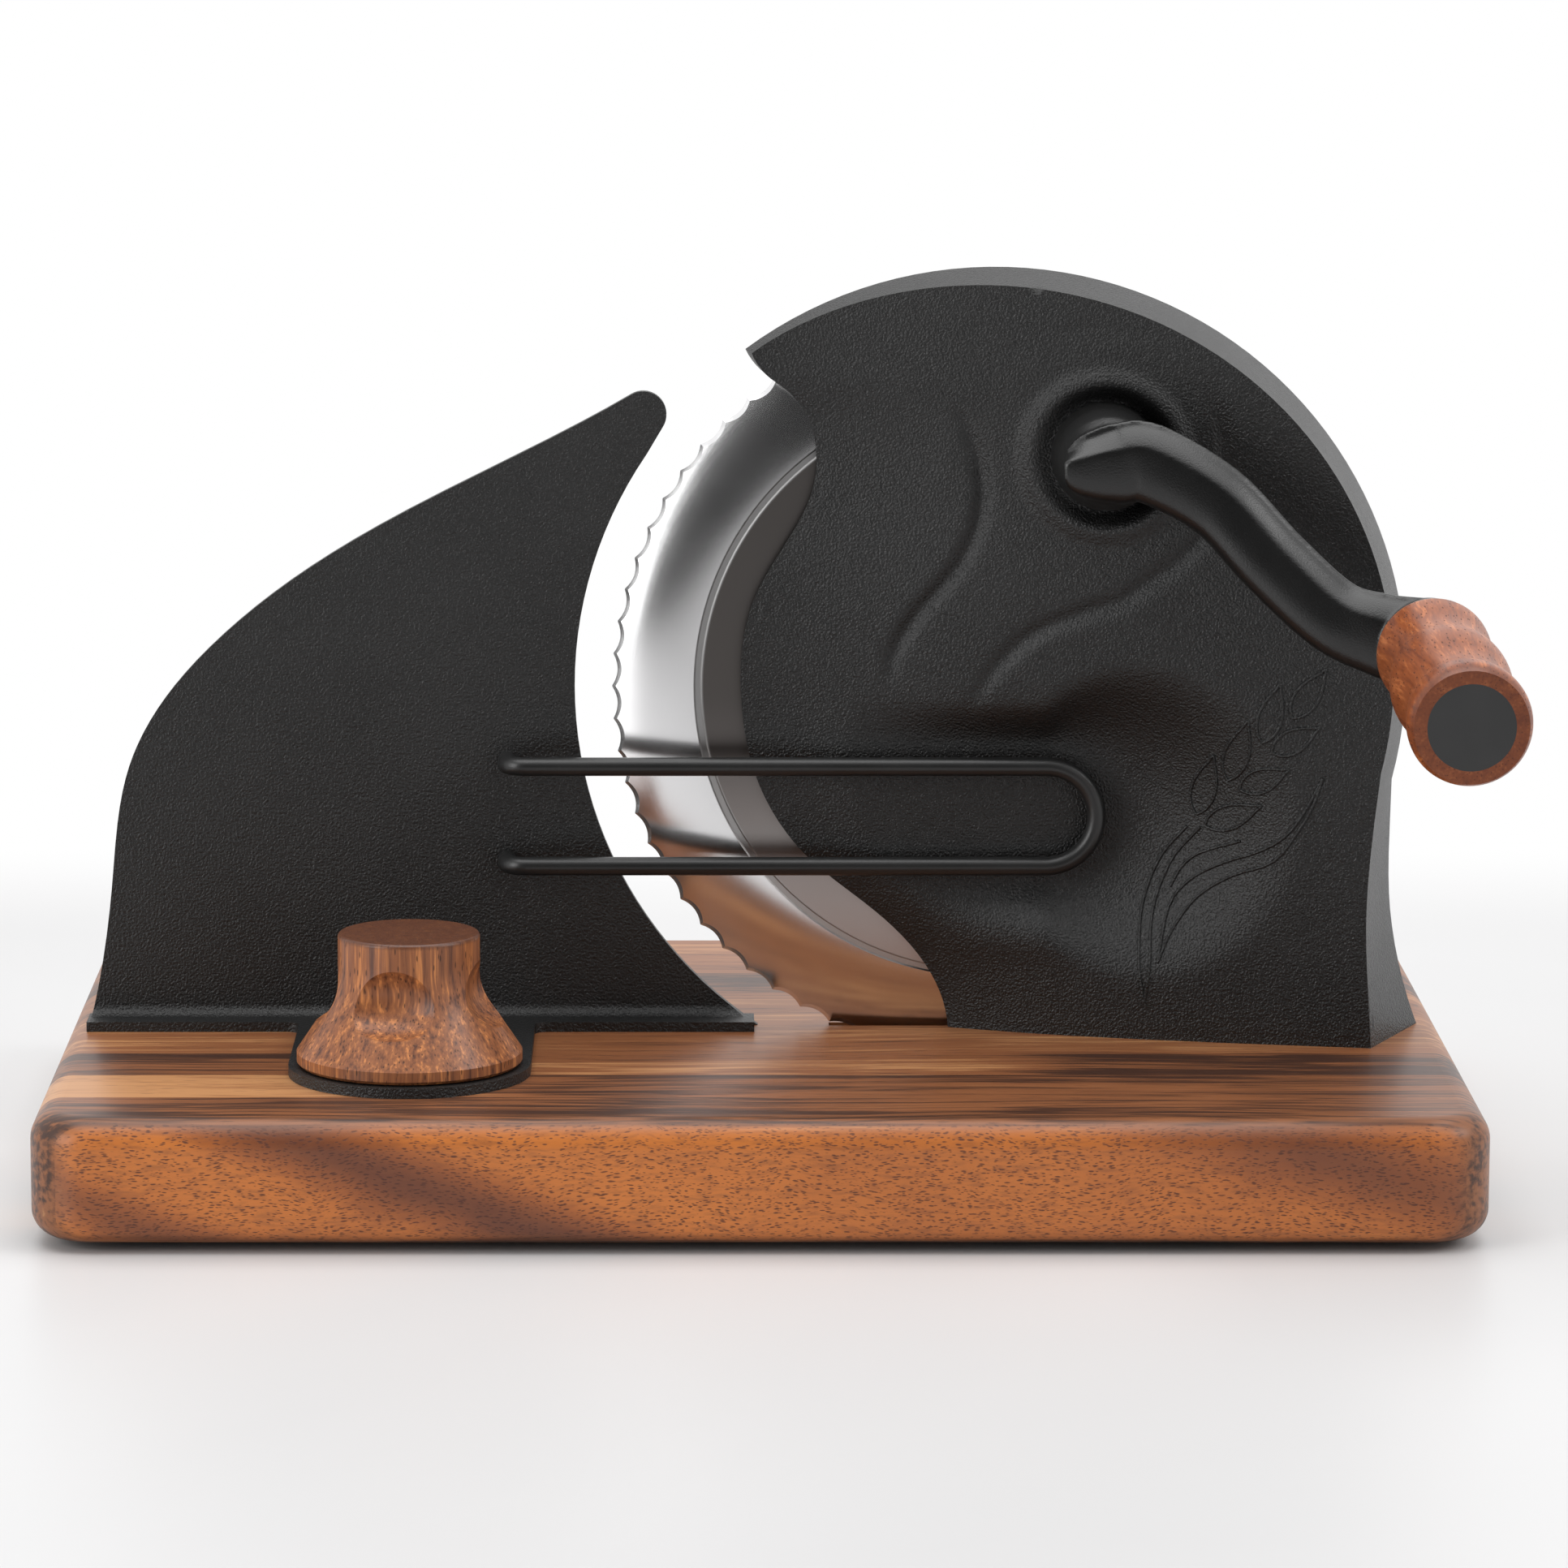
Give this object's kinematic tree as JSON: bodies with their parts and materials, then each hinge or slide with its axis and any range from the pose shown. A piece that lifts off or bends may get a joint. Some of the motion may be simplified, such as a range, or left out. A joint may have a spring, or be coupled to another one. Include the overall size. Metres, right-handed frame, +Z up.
{
  "type": "bread slicer with crank",
  "caption": "Hand-cranked bread slicer: a geared serrated disc blade in a sloped black housing on a wooden board, with a sliding fence, wire guard, clamping knob and wooden grip.",
  "frame": {"origin": "bottom centre of the bounding box of the whole slicer, on the table under the board", "axes": "+X to the right along the board, towards the crank; +Y towards the back, where the loaf lies; +Z up"},
  "size_m": [0.3626, 0.2706, 0.2317],
  "materials": {
    "board_wood": "oiled walnut strips, end grain flecks on the front edge",
    "knob_wood": "oiled walnut",
    "grip_wood": "oiled reddish hardwood",
    "powder_coat": "fine textured black powder coat",
    "powder_coat_plate": "fine textured black powder coat",
    "fence_coat": "fine textured black powder coat",
    "wire_coat": "satin black powder coat",
    "crank_coat": "satin black paint over cast metal",
    "blade_steel": "polished bevel outside a groove, brushed disc inside",
    "gear_steel": "plain machined",
    "gear_plastic": "natural moulded plastic",
    "plain_steel": "plain machined",
    "screw_steel": "zinc plated",
    "bush_brass": "plain turned",
    "bush_plastic": "natural moulded plastic",
    "cap_plastic": "matte black",
    "foot_rubber": "matte black"
  },
  "bodies": {
    "base": {"board": "board_wood", "rubber_feet": "foot_rubber", "foot_screws": "screw_steel", "housing": "powder_coat", "housing_screws": "screw_steel", "screw_washers": "screw_steel", "rear_cover": "powder_coat_plate", "cover_screws": "screw_steel", "crank_bush": "bush_brass", "blade_axle": "plain_steel", "axle_washer": "plain_steel", "axle_screw": "screw_steel"},
    "blade": {"blade": "blade_steel", "blade_gear": "gear_plastic", "blade_bush": "bush_brass", "blade_screws": "screw_steel"},
    "crank": {"crank_shaft": "plain_steel", "drive_gear": "gear_steel", "crank_arm": "crank_coat", "crank_set_screw": "screw_steel", "grip_pin": "plain_steel"},
    "grip": {"grip": "grip_wood", "grip_cap": "cap_plastic", "grip_bush": "bush_plastic"},
    "fence": {"fence_plate": "fence_coat", "wire_guard": "wire_coat", "guide_key": "bush_plastic", "key_screws": "screw_steel"},
    "knob": {"knob": "knob_wood", "knob_insert": "bush_brass", "knob_washer": "plain_steel"},
    "clamp": {"clamp_bolt": "plain_steel"}
  },
  "joints": [
    {"name": "crank_turn", "type": "hinge", "parent": "base", "child": "crank", "pos_m": [0.08749, 0.01734, 0.1851], "axis": [0, 1, 0], "continuous": true},
    {"name": "blade_turn", "type": "hinge", "parent": "base", "child": "blade", "pos_m": [0.05941, 0.01734, 0.1229], "axis": [0, 1, 0], "continuous": true},
    {"name": "grip_spin", "type": "hinge", "parent": "crank", "child": "grip", "pos_m": [0.16629, -0.04866, 0.142], "axis": [0, -0.9981, -0.061], "continuous": true},
    {"name": "fence_slide", "type": "slide", "parent": "base", "child": "fence", "axis": [0, -1, 0], "range_m": [0, 0.016]},
    {"name": "knob_turn", "type": "hinge", "parent": "fence", "child": "knob", "pos_m": [-0.08929, -0.04366, 0.0364], "axis": [0, 0, 1], "range_deg": [-72, 360]},
    {"name": "clamp_lift", "type": "slide", "parent": "fence", "child": "clamp", "axis": [0, 0, 1], "range_m": [-0.00125, 0.00025]}
  ],
  "couplings": [
    {"joint": "blade_turn", "follows": "crank_turn", "ratio": -0.75},
    {"joint": "clamp_lift", "follows": "knob_turn", "m_per_rad": -0.00019894}
  ]
}
